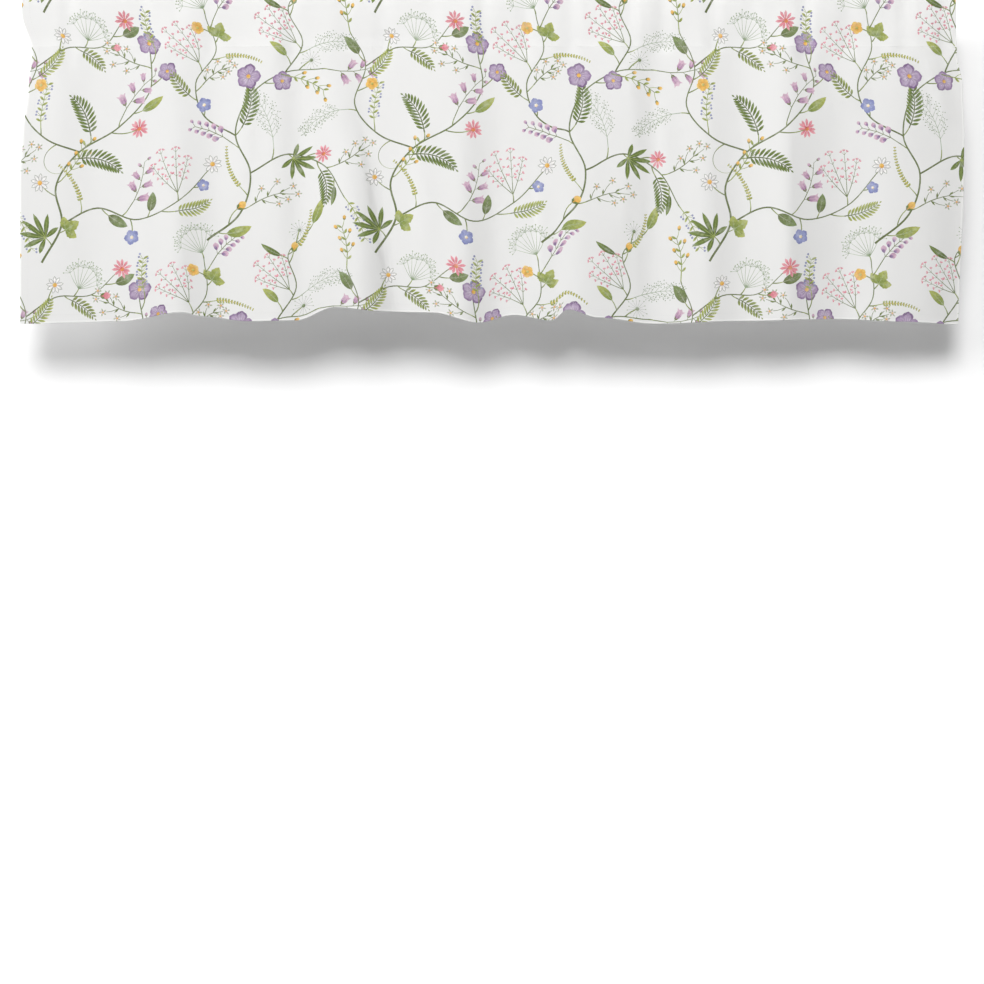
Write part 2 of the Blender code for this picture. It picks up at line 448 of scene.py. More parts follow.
def star(place, heading, size):
    """A small pale star flower."""
    for step in range(5):
        fleck(place, heading + 2 * math.pi * step / 5, size * 0.5, size * 0.22, (SAGE, PALE_SAGE))
        fleck(place, heading + 2 * math.pi * (step + 0.5) / 5, size * 0.44, size * 0.24, (SHELL, MILK))
    dot(place, size * 0.13, (AMBER, BUTTER), 5)


def puff(place, heading, size):
    """A pale round seed head of fine rays."""
    for ray, aim in enumerate(whorl(heading, 15)):
        tip = line(place, aim, size * (0.5 if ray % 2 else 0.4), 0.3, 0.25, (SAGE, SHADE))
        fleck(tip, aim, 2.2, 1.7, (SAGE, PALE_SAGE))
    dot(place, size * 0.1, (OLIVE, SAGE))


def sepals(place, heading, length, width):
    for turn in (-0.5, 0.5):
        fleck(place, heading + turn, length, width, (OLIVE, LEAF_GREEN))


def bud(place, heading, size, colours=(AMBER, BUTTER)):
    """A closed flower between two sepals."""
    blade(ahead(place, heading, size * 0.1), heading, size * 0.9, size * 0.62, colours, 0.0, 0.55, 5)
    sepals(place, heading, size * 0.55, size * 0.22)


def bell(place, heading, size):
    """A nodding bell with a green cap."""
    side = [(0.0, 0.10), (0.3, 0.26), (0.75, 0.28), (1.0, 0.42)]
    lips = [(0.9, -0.2), (1.06, 0.0), (0.9, 0.2)]
    around = [(far, -out) for far, out in side] + lips + side[::-1]
    ink([ahead(place, heading, size * far, size * out) for far, out in around],
        place, ahead(place, heading, size), MAUVE, SHELL)
    for aside in (-0.12, 0.12):
        line(ahead(place, heading, size * 0.15, size * aside), heading, size * 0.6, size * 0.05,
             size * 0.02, (blend(MAUVE, PURPLE, 0.5), MAUVE))
    sepals(ahead(place, heading, -size * 0.08), heading, size * 0.36, size * 0.14)


def leaf(place, heading, size, colours, bend, slim):
    """An oval leaf with its midrib and side veins."""
    path = blade(place, heading, size, size * slim, colours, bend, 0.45, 7)
    pale = (blend(colours[0], MILK, 0.35),)
    stroke(path[:-1:2], size * 0.03, size * 0.01, *pale)
    for spot, turned in path[2:5]:
        for side in (1, -1):
            line(spot, turned + side * 0.65, size * slim * 0.34, size * 0.016, size * 0.006, pale)


def toothed(place, heading, size, colours):
    """A wide leaflet with a toothed edge, its midrib and side veins."""
    teeth = 4
    sides = []
    for side in (-1, 1):
        edge = []
        for tooth in range(teeth):
            for part, out in ((0.35, 1.0), (1.0, 0.84)):
                share = (tooth + part) / teeth
                half = size * 0.36 * math.sin(math.pi * share ** 0.9) ** 0.8 * out
                edge.append(ahead(place, heading, size * (0.04 + 0.94 * share), side * max(half, 0.0)))
        sides.append(edge[:-1])
    tip = ahead(place, heading, size)
    ink([place] + sides[0] + [tip] + sides[1][::-1], place, tip, *colours)
    pale = (blend(colours[0], MILK, 0.35),)
    line(place, heading, size * 0.9, size * 0.03, size * 0.01, pale)
    for share in (0.3, 0.55):
        for side in (-1, 1):
            line(ahead(place, heading, size * share), heading + side * 0.75, size * 0.2, size * 0.02,
                 size * 0.008, pale)


def strawberry_leaf(place, heading, size):
    """Three toothed leaflets from one point."""
    for turn, share in ((1.15, 0.85), (-1.15, 0.85), (0.0, 1.0)):
        toothed(place, heading + turn, size * 0.62 * share, (LEAF_GREEN, LIME))


def hand_leaf(place, heading, size):
    """Narrow dark leaflets spread like fingers, in pairs round a middle one."""
    for turn, share in ((1.7, 0.55), (0.95, 0.8), (0.42, 0.92), (0.0, 1.0)):
        for side in ((-1, 1) if turn else (1,)):
            path = blade(place, heading + side * turn, size * share, size * 0.17, (MOSS, LEAF_GREEN),
                         side * turn * 0.15, 0.55, 6)
            stroke(path[:-1:2], size * 0.018, size * 0.006, FRESH_GREEN)


def frond(place, heading, size, bend=0.8, pairs=10, colours=(MOSS, LEAF_GREEN)):
    """A fern leaf of paired leaflets."""
    knots = twig(place, heading, size, bend, pairs + 2, size * 0.022, size * 0.01, OLIVE)
    for step, spot, turned in knots[1:-1]:
        share = step / (pairs + 2)
        reach = size * 0.27 * math.sin(math.pi * (0.16 + 0.80 * share)) ** 0.8
        width = min(reach * 0.4, size / (pairs + 2) * 0.72)
        for side in (1, -1):
            aim = turned + side * (1.15 - 0.45 * share)
            blade(spot, aim, reach, width, colours, -side * 0.2, 0.55, 4)
    fleck(*knots[-1][1:], size * 0.09, size * 0.04, colours)


def spike(place, heading, size, bend=0.8):
    """A catkin of small green flowers along an arc."""
    count = max(8, int(size / 4.0))
    for step, spot, turned in twig(place, heading, size, bend, count, 0.8, 0.4, FRESH_GREEN)[2:]:
        bead = 4.6 * (1.2 - 0.6 * step / count)
        for side in (1, -1):
            fleck(spot, turned + side * rng.uniform(0.7, 1.1), bead, bead * 0.66, (LEAF_GREEN, LIME))
        fleck(spot, turned, bead * 0.8, bead * 0.6, (FRESH_GREEN, BUTTER))


def lace(place, heading, size):
    """A flat head of many tiny flowers on fine rays."""
    rays = 9
    for ray in range(rays):
        turn = (ray - (rays - 1) / 2) * 0.27
        reach = size * (0.72 + 0.28 * math.cos(turn)) * rng.uniform(0.9, 1.0)
        spot, turned = stalk(place, heading + turn, reach * 0.74, -turn * 0.25, 2, 0.6, 0.35,
                             SAGE, PALE_SAGE)
        for number in range(5):
            aim = turned + (number - 2) * 0.6
            tip = line(spot, aim, reach * rng.uniform(0.14, 0.26), 0.35, 0.25, (SAGE,))
            fleck(tip, aim, 2.6, 2.0, (SAGE, PALE_SAGE))


def mist(place, heading, size, bend=0.7):
    """An airy spray of seed: fine twigs that fork, each with tiny grey-green specks."""
    for step, spot, turned in twig(place, heading, size, bend, 10, 0.6, 0.3, SAGE)[2:]:
        for side in (1, -1):
            out = size * 0.27 * math.sin(math.pi * (0.2 + 0.7 * step / 11))
            aim = turned + side * rng.uniform(0.55, 0.95)
            stalk(spot, aim, out, -side * 0.3, 2, 0.35, 0.25, SAGE)
            for reach in (0.45, 0.75, 1.0):
                for turn in (-0.8, 0.8):
                    away = aim + turn + rng.uniform(-0.4, 0.4)
                    end = ahead(ahead(spot, aim - side * 0.15, out * reach), away, rng.uniform(0.8, 2.6))
                    fleck(end, away, rng.uniform(1.9, 2.7), 1.3, (blend(MOSS, SAGE, 0.45), SAGE))


def berries(place, heading, size):
    """A twig of small leaves with lilac-grey berries on short stalks."""
    for step, spot, turned in twig(place, heading, size, -0.5, 8, 0.9, 0.5, FRESH_GREEN)[1:]:
        side = 1 if step % 2 else -1
        blade(spot, turned + side * 0.8, 8.5, 3.2, (LEAF_GREEN, LIME), 0.3 * side, 0.5, 4)
        for turn, reach in ((-0.75, 9.5), (-1.2, 7.5)):
            tip = line(spot, turned + side * turn, reach, 0.45, 0.3, (FRESH_GREEN,))
            dot(tip, 1.75, (SLATE, blend(SLATE, SKY, 0.6)), 5)


def heather(place, heading, size):
    """A forked spray of tiny pink flowers."""
    for turn, share in ((-0.62, 0.78), (-0.2, 0.95), (0.22, 1.0), (0.62, 0.8)):
        fork = bow(place, heading + turn, size * share, -turn * 0.4, 5)
        stroke(fork, 0.8, 0.4, STEM_GREEN)
        for step, (spot, turned) in enumerate(fork[2:], 2):
            for side in ((1, -1) if step < 5 else (1, 0, -1)):
                aim = turned + side * 0.75
                end = line(spot, aim, size * 0.085, 0.4, 0.3, (STEM_GREEN,))
                for splay in (-0.65, 0.0, 0.65):
                    fleck(end, aim + splay, 3.4, 1.9, (ROSE, BLUSH) if splay else (BLUSH, SHELL))


def tendril(place, heading, size):
    """A bare stalk that curls right round."""
    stalk(place, heading, size, 2.6, 12, 0.7, 0.3, OLIVE, FRESH_GREEN)


def bells(place, heading, size, bend=0.7, first_side=1):
    """An arching stalk hung with bells, smaller towards its tip."""
    for step, spot, turned in twig(place, heading, size, bend, 8, 1.0, 0.5, STEM_GREEN)[2:]:
        droop = turned + (first_side if step % 2 else -first_side) * 0.95
        tip = line(spot, droop, size * 0.06, 0.5, 0.4, (STEM_GREEN,))
        big = 17.0 * (1.12 - 0.07 * step)
        if step < 7:
            bell(tip, droop, big)
        else:
            bud(tip, droop, big * 0.7, (MAUVE, SHELL))


def amber_spray(place, heading, size, bend=0.5):
    """A twig of small leaves and amber buds on fine stalks."""
    for step, spot, turned in twig(place, heading, size, bend, 6, 1.1, 0.6, FRESH_GREEN, STEM_GREEN)[1:]:
        side = 1 if step % 2 else -1
        bud(*stalk(spot, turned + side * 0.85, size * 0.2, -0.4 * side, 2, 0.7, 0.5, FRESH_GREEN), 8.0)
        blade(spot, turned - side * 0.9, 8.5, 3.4, (LEAF_GREEN, LIME), 0.4 * side, 0.5, 4)


def star_spray(place, heading, size, bend=-0.4):
    """A forked twig with a pale star at the end of each stalk."""
    path = bow(place, heading, size * 0.62, bend, 5)
    stroke(path, 1.1, 0.7, STEM_GREEN)
    forks = ((1, 0.9, 0.3), (2, -0.9, 0.36), (3, 0.85, 0.36),
             (4, -0.75, 0.3), (5, -0.3, 0.36), (5, 0.4, 0.3))
    for step, turn, share in forks:
        spot, turned = path[step]
        star(*stalk(spot, turned + turn, size * share, -turn * 0.5, 2, 0.7, 0.5, STEM_GREEN), 12.0)
        fleck(spot, turned + turn * 1.3, 9.0, 2.6, (OLIVE, LEAF_GREEN))


def pea_flowers(place, heading, size, bend=0.5):
    """A stalk of rounded mauve flowers in two rows, and one leaflet behind each."""
    for step, spot, turned in twig(place, heading, size, bend, 6, 1.0, 0.6, STEM_GREEN)[2:]:
        big = 12.0 * (1.15 - 0.1 * step)
        for side in (1, -1):
            aim = turned + side * 0.8
            tip = line(spot, aim, 5.0, 0.6, 0.5, (STEM_GREEN,))
            blade(tip, aim, big, big * 0.75, (MAUVE, SHELL), 0.0, 0.6, 5)
            blade(tip, aim + side * 0.25, big * 0.6, big * 0.4, (PURPLE, LILAC), 0.0, 0.6, 4)


# The same growths in other colours, or bent the other way
oval_leaf = partial(leaf, colours=(OLIVE, blend(LEAF_GREEN, SAGE, 0.5)), bend=0.25, slim=0.46)
willow_leaf = partial(leaf, colours=(MOSS, LEAF_GREEN), bend=-0.4, slim=0.24)
light_leaf = partial(leaf, colours=(LEAF_GREEN, LIME), bend=0.35, slim=0.38)
small_frond = partial(frond, bend=-0.5, pairs=7, colours=(OLIVE, FRESH_GREEN))
light_frond = partial(frond, bend=0.6, pairs=9, colours=(LEAF_GREEN, LIME))
rose_bud = partial(bud, colours=(ROSE, BLUSH))
back_frond = partial(frond, bend=-0.9)
back_spike = partial(spike, bend=-0.8)
back_mist = partial(mist, bend=-0.7)
back_bells = partial(bells, bend=-0.7, first_side=-1)
back_amber_spray = partial(amber_spray, bend=-0.6)
back_star_spray = partial(star_spray, bend=0.5)
back_pea_flowers = partial(pea_flowers, bend=-0.5)

# The stems of one repeat, from below upwards, in millimetres from its lower left corner. Each
# growth on a stem gives the share of the way along it, the angle to it, the length and the
# bend of its stalk, what it is and how big.
STEMS = [
    Stem([(30, -30), (58, 22), (50, 74), (80, 122), (134, 156), (172, 206), (168, 262)], 2.3, 1.1, [
        (0.08, 1.0, 14, 0.5, hand_leaf, 42), (0.12, -0.9, 10, 0.3, strawberry_leaf, 36),
        (0.27, 1.0, 30, -0.6, daisy, 25), (0.33, -0.9, 8, 0.4, amber_spray, 56),
        (0.43, -0.9, 8, 0.2, back_frond, 66), (0.52, 0.9, 12, 0.3, frond, 64),
        (0.62, -0.8, 40, 0.7, aster, 27), (0.66, 0.9, 8, -0.3, back_bells, 78),
        (0.72, -0.8, 12, 0.4, light_leaf, 34), (0.86, -0.9, 30, 0.5, cranesbill, 27),
        (0.92, 0.9, 10, 0.3, star_spray, 66), (1.00, 0.0, 10, -0.3, cranesbill, 33),
        (0.95, -0.8, 26, 0.9, berries, 46),
    ]),
    Stem([(58, 22), (108, 44), (166, 26), (222, 46), (262, 92)], 1.8, 0.9, [
        (0.14, 0.9, 10, 0.3, spike, 66), (0.26, -0.8, 14, 0.3, oval_leaf, 32),
        (0.40, 1.0, 10, 0.3, bells, 72), (0.44, -0.9, 26, -0.6, forget_me_not, 22),
        (0.56, 0.9, 8, 0.2, oval_leaf, 28), (0.62, -0.7, 20, 0.4, light_frond, 52),
        (0.74, 0.9, 12, 0.3, heather, 62), (0.88, -0.8, 14, 0.4, forget_me_not, 18),
        (1.00, 0.0, 12, 0.3, daisy, 25),
    ]),
    Stem([(262, -6), (308, 36), (322, 92), (298, 144), (314, 200), (362, 232), (414, 236)], 2.1, 1.0, [
        (0.05, -0.9, 12, 0.4, light_leaf, 38), (0.12, 0.8, 26, -0.8, bud, 17),
        (0.20, -0.9, 12, 0.4, star_spray, 72), (0.26, 0.8, 10, 0.3, back_spike, 66),
        (0.47, 0.6, 8, -0.2, pea_flowers, 62), (0.52, -0.9, 14, 0.3, frond, 62),
        (0.66, 0.8, 32, -0.5, cranesbill, 35), (0.76, -0.8, 26, 0.6, cranesbill, 28),
        (0.84, -0.8, 10, 0.3, back_amber_spray, 56), (0.90, 0.8, 22, -0.4, puff, 27),
        (1.00, 0.0, 8, -0.3, bells, 74),
    ]),
    Stem([(322, 92), (374, 118), (424, 96), (452, 50)], 1.7, 0.9, [
        (0.20, 0.8, 16, 0.3, mist, 78), (0.36, -0.9, 8, 0.3, hand_leaf, 38),
        (0.50, 0.8, 26, -0.8, aster, 25), (0.60, -0.8, 14, 0.4, back_frond, 54),
        (0.72, 0.8, 10, 0.4, back_star_spray, 66), (0.84, -0.6, 10, 0.2, willow_leaf, 30),
        (1.00, 0.0, 6, 0.2, berries, 62),
    ]),
    Stem([(298, 144), (252, 170), (236, 216), (262, 262), (258, 312)], 1.6, 0.9, [
        (0.24, -0.9, 16, 0.6, forget_me_not, 22), (0.38, 0.9, 10, -0.3, small_frond, 46),
        (0.44, -1.0, 14, 0.2, star_spray, 54), (0.60, 0.9, 14, 0.3, heather, 58),
        (0.70, -1.0, 12, 0.3, back_spike, 60), (0.80, -0.9, 10, 0.4, strawberry_leaf, 35),
        (0.88, 0.8, 20, 0.5, cup, 18), (0.92, -0.9, 12, 0.3, back_pea_flowers, 58),
        (1.00, 0.0, 8, 0.4, lace, 48),
    ]),
    Stem([(80, 122), (30, 142), (-6, 186), (8, 240), (-8, 284)], 1.7, 0.9, [
        (0.14, 0.8, 14, 0.4, tendril, 50), (0.26, -0.9, 12, 0.2, berries, 58),
        (0.44, 0.8, 12, 0.3, mist, 64), (0.60, -0.9, 24, 0.3, cup, 19),
        (0.70, -0.9, 10, 0.3, light_frond, 50), (0.82, 0.8, 14, -0.5, oval_leaf, 31),
        (1.00, 0.0, 8, -0.5, amber_spray, 56),
    ]),
    Stem([(8, 240), (50, 266), (100, 268), (138, 300)], 1.4, 0.8, [
        (0.26, 0.9, 24, -0.5, daisy, 23), (0.42, -0.9, 8, 0.5, small_frond, 46),
        (0.52, 0.9, 12, 0.3, lace, 44), (0.68, -0.8, 12, 0.5, rose_bud, 16),
        (0.82, -0.9, 14, 0.4, oval_leaf, 30), (1.00, 0.0, 6, -0.4, aster, 28),
    ]),
    Stem([(362, 232), (388, 276), (376, 322), (404, 352)], 1.5, 0.8, [
        (0.22, -0.9, 12, 0.4, back_mist, 66), (0.30, 0.9, 10, 0.3, heather, 56),
        (0.08, 0.9, 14, 0.4, light_leaf, 30), (0.66, 0.9, 10, 0.2, willow_leaf, 34),
        (0.60, -0.9, 16, 0.4, bud, 16), (0.72, -0.9, 12, 0.3, spike, 56),
        (0.84, 0.8, 18, -0.3, puff, 25), (1.00, 0.0, 10, 0.3, light_leaf, 34),
    ]),
]


def smooth_route(route, spacing=6.0):
    """Places and headings along a smooth curve through the route's points."""
    beyond = [tuple(2 * a - b for a, b in zip(*ends)) for ends in (route[:2], route[:-3:-1])]
    points = [beyond[0], *route, beyond[1]]
    places = []
    for p0, p1, p2, p3 in zip(points, points[1:], points[2:], points[3:]):
        steps = max(2, int(math.dist(p1, p2) / spacing))
        for step in range(steps):
            t = step / steps
            places.append(tuple(0.5 * (2 * b + (c - a) * t + (2 * a - 5 * b + 4 * c - d) * t * t
                                       + (3 * b - a - 3 * c + d) * t ** 3)
                                for a, b, c, d in zip(p0, p1, p2, p3)))
    places.append(route[-1])
    path = []
    for step, place in enumerate(places):
        before = places[max(0, step - 1)]
        after = places[min(len(places) - 1, step + 1)]
        path.append((place, math.atan2(after[1] - before[1], after[0] - before[0])))
    return path


def draw_repeat():
    """The stems of one repeat, and then all that grows from them."""
    paths = [smooth_route(stem.route) for stem in STEMS]
    for stem, path in zip(STEMS, paths):
        stroke(path, stem.thick, stem.thin, OLIVE, STEM_GREEN)
    for stem, path in zip(STEMS, paths):
        for at, turn, length, bend, growth, size in stem.sprigs:
            place, heading = path[round(at * (len(path) - 1))]
            growth(*stalk(place, heading + turn, length, bend, max(3, int(length / 5)), 1.3, 0.9,
                          STEM_GREEN, FRESH_GREEN), size)


# How the flat cloth is cut into faces, in millimetres
COLUMN, ROW = 7.5, 13.0  # width and height of a face where nothing is printed
SHARP_CREASE = (466.0, 538.0)  # from the cloth's left edge
FINE_COLUMN = 2.4
POCKET_ROW = 3.2
BACK_COLUMN, BACK_ROW = 6.0, 10.0
TURN_LINES = (-0.7, -0.2, 0.3, 0.8)  # the back's closest lines, from where a turned edge ends
CLEAR = 3.0  # from there to the back's next line
TURN_STEP = 0.5  # half the width over which the cloth thins there
RIM_STEPS = 4  # faces round the cloth's edge
REACH = 1.5  # how far to each side of a place its slope is taken
BAKED_RIM = 2.4  # width that the cloth's rounded edge takes in its baked map
BACK_STRIP = 110.0  # width that the drop's back takes there

WHOLE, INSIDE = 0, 1  # whether delaunay_2d_cdt keeps all faces, or those inside the given edges

Area = namedtuple("Area", "left right low high")
DROP = Area(0.0, FLAT_WIDTH, -LENGTH, -POCKET - SEAM_GAP)
POCKET_CLOTH = Area(0.0, FLAT_WIDTH, -POCKET, POCKET_PATH - POCKET)


def linear(colour):
    """The light that a colour of the screen stands for."""
    return [((part + 0.055) / 1.055) ** 2.4 if part > 0.04045 else part / 12.92 for part in colour]


def even_lines(start, end, spacing):
    return np.linspace(start, end, max(2, round((end - start) / spacing) + 1))


def column_lines(start, end, spacing):
    """Lines up the cloth, closer together where its sharpest crease runs."""
    fine = np.arange(*SHARP_CREASE, FINE_COLUMN)
    return np.unique(np.concatenate((even_lines(start, end, spacing), fine)).round(3))


def repeats(low, high, size):
    """The numbers of the repeats that reach into a length."""
    return range(math.floor(low / size) - 1, math.ceil(high / size) + 1)


def printed_on(area):
    """The shapes of every repeat that reach into an area of the flat cloth."""
    found = []
    for steps in itertools.product(repeats(area.left, area.right, REPEAT_ACROSS),
                                   repeats(area.low, area.high, REPEAT_DOWN)):
        moved = np.array(steps) * (REPEAT_ACROSS, REPEAT_DOWN)
        for number, shape in enumerate(drawn):
            outline = np.array(shape.outline) + moved
            starts_inside = (outline.min(0) < (area.right, area.high)).all()
            if starts_inside and (outline.max(0) > (area.left, area.low)).all():
                found.append((number, moved, outline))
    return found


def cut_flat(area, across_lines, up_lines, found):
    """The flat area as triangles, cut along the edge of each printed shape. Gives its corners,
    its triangles, and for each triangle which of the found shapes is on top, or -1."""
    corners = [(across, up) for up in up_lines for across in across_lines]
    columns, rows = len(across_lines), len(up_lines)
    # The area's edges are kept, and its middle, where the baked map is parted
    held = {0, columns - 1, int(np.argmin(np.abs(across_lines - (area.left + area.right) / 2)))}
    edges = [(row * columns + column, (row + 1) * columns + column)
             for column in held for row in range(rows - 1)]
    edges += [(row * columns + column, row * columns + column + 1)
              for row in (0, rows - 1) for column in range(columns - 1)]
    outlines = []
    for _, _, outline in found:
        outlines.append(list(range(len(corners), len(corners) + len(outline))))
        corners.extend(map(tuple, outline))
    cut = delaunay_2d_cdt(corners, edges, outlines, WHOLE, MERGE, True)
    flat = np.array([tuple(corner) for corner in cut[0]])
    faces = np.array(cut[2])
    top = np.array([max(over, default=-1) for over in cut[5]])
    middle = flat[faces].mean(1)
    inside = ((middle > (area.left, area.low)) & (middle < (area.right, area.high))).all(1)
    used, faces = np.unique(faces[inside], return_inverse=True)
    return flat[used], faces.reshape(-1, 3), top[inside]


def unit(vectors):
    return vectors / np.linalg.norm(vectors, axis=1)[:, None]


def edge_loop(flat, faces, area):
    """The corners round the area's edge from its lower left, the face beside each step of the
    way round, and the way out of the cloth at each corner."""
    beside = {}
    for number, (a, b, c) in enumerate(faces.tolist()):
        beside[a, b] = beside[b, c] = beside[c, a] = number
    following = {a: b for a, b in beside if (b, a) not in beside}
    loop = [int(np.argmin(flat.sum(1)))]
    while following[loop[-1]] != loop[0]:
        loop.append(following[loop[-1]])
    faces_beside = [beside[step, following[step]] for step in loop]
    out = np.zeros((len(loop), 2))
    for axis, value, way in zip((0, 0, 1, 1), area, (-1.0, 1.0, -1.0, 1.0)):
        out[np.abs(flat[loop, axis] - value) < ON_EDGE, axis] = way
    return np.array(loop), np.array(faces_beside), unit(out)


def slopes(place, across, up):
    """The ways across and up the hung cloth at places of the flat cloth."""
    to_right = place(across + REACH, up) - place(across - REACH, up)
    upwards = place(across, up + REACH) - place(across, up - REACH)
    return unit(to_right), unit(upwards)


def facing(place, across, up):
    """The way the cloth's printed face looks at places of the flat cloth."""
    return unit(np.cross(*slopes(place, across, up)))


def thick_at(area, across, up):
    """The cloth's thickness, more where its sides and its hem are turned in."""
    inwards = np.minimum(across - area.left, area.right - across)
    if area is DROP:
        inwards = np.minimum(inwards, up - area.low)
    return CLOTH + TURNED * smooth((TURN + TURN_STEP - inwards) / (2 * TURN_STEP))


def back_net(area, up_lines):
    """The corners of the cloth's back, wider apart than those of its face."""
    turned = TURN + np.array(TURN_LINES)
    across_lines = column_lines(area.left, area.right, BACK_COLUMN)[1:-1]
    clear = (across_lines > TURN + CLEAR) & (across_lines < area.right - TURN - CLEAR)
    across_lines = np.concatenate((turned, across_lines[clear], area.right - turned[::-1]))
    up_lines = up_lines[1:-1]
    if area is DROP:
        up_lines = even_lines(area.low, area.high, BACK_ROW)[1:-1]
        up_lines = np.concatenate((area.low + turned, up_lines[up_lines > area.low + TURN + CLEAR]))
    return [(across, up) for up in up_lines for across in across_lines]


def cloth_piece(name, area, place, across_lines, up_lines):
    """A closed sheet: its printed face, a rounded edge, and its plain back."""
    found = printed_on(area)
    flat, faces, top = cut_flat(area, across_lines, up_lines, found)
    front, front_facing = place(*flat.T), facing(place, *flat.T)
    loop, faces_beside, out = edge_loop(flat, faces, area)
    count = len(loop)

    def back_place(across, up):
        return place(across, up) - facing(place, across, up) * thick_at(area, across, up)[:, None]

    # The rounded edge, ring by ring from the face to the back. The seam's edge is cut square.
    edge = flat[loop]
    to_right, upwards = slopes(place, *edge.T)
    outwards = unit(out[:, :1] * to_right + out[:, 1:] * upwards)
    seam = area.high if area is DROP else area.low
    free = np.abs(edge[:, 1:] - seam) > ON_EDGE
    swell = out[:, :1] * to_right + np.where(free, out[:, 1:], 0.0) * upwards
    half = thick_at(area, *edge.T)[:, None] / 2
    following = np.roll(loop, -1)
    rings, ring_facing, widened, rim, rim_flat = [], [], [], [], []
    near = loop
    for step in range(1, RIM_STEPS + 1):
        turn = math.pi * step / RIM_STEPS
        level, aside = math.cos(turn), math.sin(turn)
        rings.append(front[loop] + (front_facing[loop] * (level - 1.0) + swell * aside) * half)
        ring_facing.append(front_facing[loop] * level + outwards * aside)
        widened.append(edge + out * (step * BAKED_RIM / RIM_STEPS))
        far = len(flat) + (step - 1) * count + np.arange(count)
        rim += [np.column_stack((near, far, np.roll(far, -1))),
                np.column_stack((near, np.roll(far, -1), np.roll(near, -1)))]
        rim_flat += [np.column_stack((loop, loop, following)),
                     np.column_stack((loop, following, following))]
        near = far

    # The back, inside the last ring
    inner = back_net(area, up_lines)
    around = [(step, (step + 1) % count) for step in range(count)]
    cut = delaunay_2d_cdt([*map(tuple, edge), *inner], around, [], INSIDE, MERGE, True)
    inner = np.array(inner)
    numbers = near[0] + np.array([min(corners) for corners in cut[3]])
    back = numbers[np.array(cut[2])][:, ::-1]

    triangles = np.concatenate((faces, *rim, back))
    tops = np.concatenate((top, np.tile(top[faces_beside], 2 * RIM_STEPS)))
    spread = np.concatenate((flat, *widened, inner))
    return cloth_mesh(
        name,
        corners=np.concatenate((front, *rings, back_place(*inner.T))),
        looks=np.concatenate((front_facing, *ring_facing, -facing(back_place, *inner.T))),
        laid=np.concatenate((flat, *[edge] * RIM_STEPS, inner)),
        triangles=triangles,
        colours=ink_colours(flat, np.concatenate((faces, *rim_flat)), tops, found),
        baked=bake_map(area, spread[triangles], len(triangles) - len(back)))


def bake_map(area, spread, fronts):
    """Where each corner of each face lies in the map that an export bakes: the face in two
    halves, one above the other, and the back pressed narrow beside or above them."""
    middle = (area.left + area.right) / 2
    length = area.high - area.low
    wide, tall = middle - area.left + 3 * BAKED_RIM, 2 * length + 6 * BAKED_RIM
    placed = np.empty_like(spread)
    front, back = spread[:fronts], spread[fronts:]
    right_half = front.mean(1)[:, None, 0] > middle
    placed[:fronts, :, 0] = front[..., 0] - np.where(right_half, middle, area.left) + BAKED_RIM
    placed[:fronts, :, 1] = front[..., 1] - area.low + BAKED_RIM
    placed[:fronts, :, 1] += np.where(right_half, length + 3 * BAKED_RIM, 0.0)
    share = np.clip((back - (area.left, area.low)) / (area.right - area.left, length), 0.0, 1.0)
    if area is DROP:
        placed[fronts:, :, 0] = wide + BACK_STRIP * share[..., 1]
        placed[fronts:, :, 1] = BAKED_RIM + (tall - 3 * BAKED_RIM) * share[..., 0]
        return placed / (wide + BACK_STRIP + BAKED_RIM)
    placed[fronts:, :, 0] = BAKED_RIM + (wide - 3 * BAKED_RIM) * (1.0 - share[..., 0])
    placed[fronts:, :, 1] = tall + (wide - tall - BAKED_RIM) * share[..., 1]
    return placed / wide


def ink_colours(flat, faces, top, found):
    """The print's colour at each corner of each face, and whether there is ink."""
    shapes = [drawn[number] for number, _, _ in found]
    moved = np.array([moved for _, moved, _ in found])
    roots = np.array([shape.root for shape in shapes]) + moved
    tips = np.array([shape.tip for shape in shapes]) + moved
    first = np.array([linear(shape.root_colour) for shape in shapes])
    last = np.array([linear(shape.tip_colour) for shape in shapes])
    inked = top >= 0
    which = top[inked]
    way = (tips - roots)[which][:, None]
    reached = ((flat[faces[inked]] - roots[which][:, None]) * way).sum(2) / (way ** 2).sum(2)
    reached = np.clip(reached, 0.0, 1.0)[..., None]
    colours = np.zeros((len(faces), 3, 4), np.float32)
    colours[inked, :, :3] = mix(first[which][:, None], last[which][:, None], reached)
    colours[inked, :, 3] = 1.0
    return colours


def cloth_mesh(name, corners, looks, laid, triangles, colours, baked):
    mesh = bpy.data.meshes.new(name)
    mesh.from_pydata((corners * METRES).tolist(), [], triangles.tolist())
    mesh.shade_smooth()
    corner_colours = np.zeros((len(triangles), 3, 4), np.float32)
    corner_colours[:len(colours)] = colours
    ink = mesh.color_attributes.new("print", "FLOAT_COLOR", "CORNER")
    ink.data.foreach_set("color", corner_colours.ravel())
    for map_name, places in (("flat cloth", (laid * METRES)[triangles]), ("OFBake", baked)):
        made = mesh.uv_layers.new(name=map_name)
        made.uv.foreach_set("vector", places.astype(np.float32).ravel())
    mesh.normals_split_custom_set_from_vertices(looks.tolist())
    piece = bpy.data.objects.new(name, mesh)
    scene.collection.objects.link(piece)
    return piece


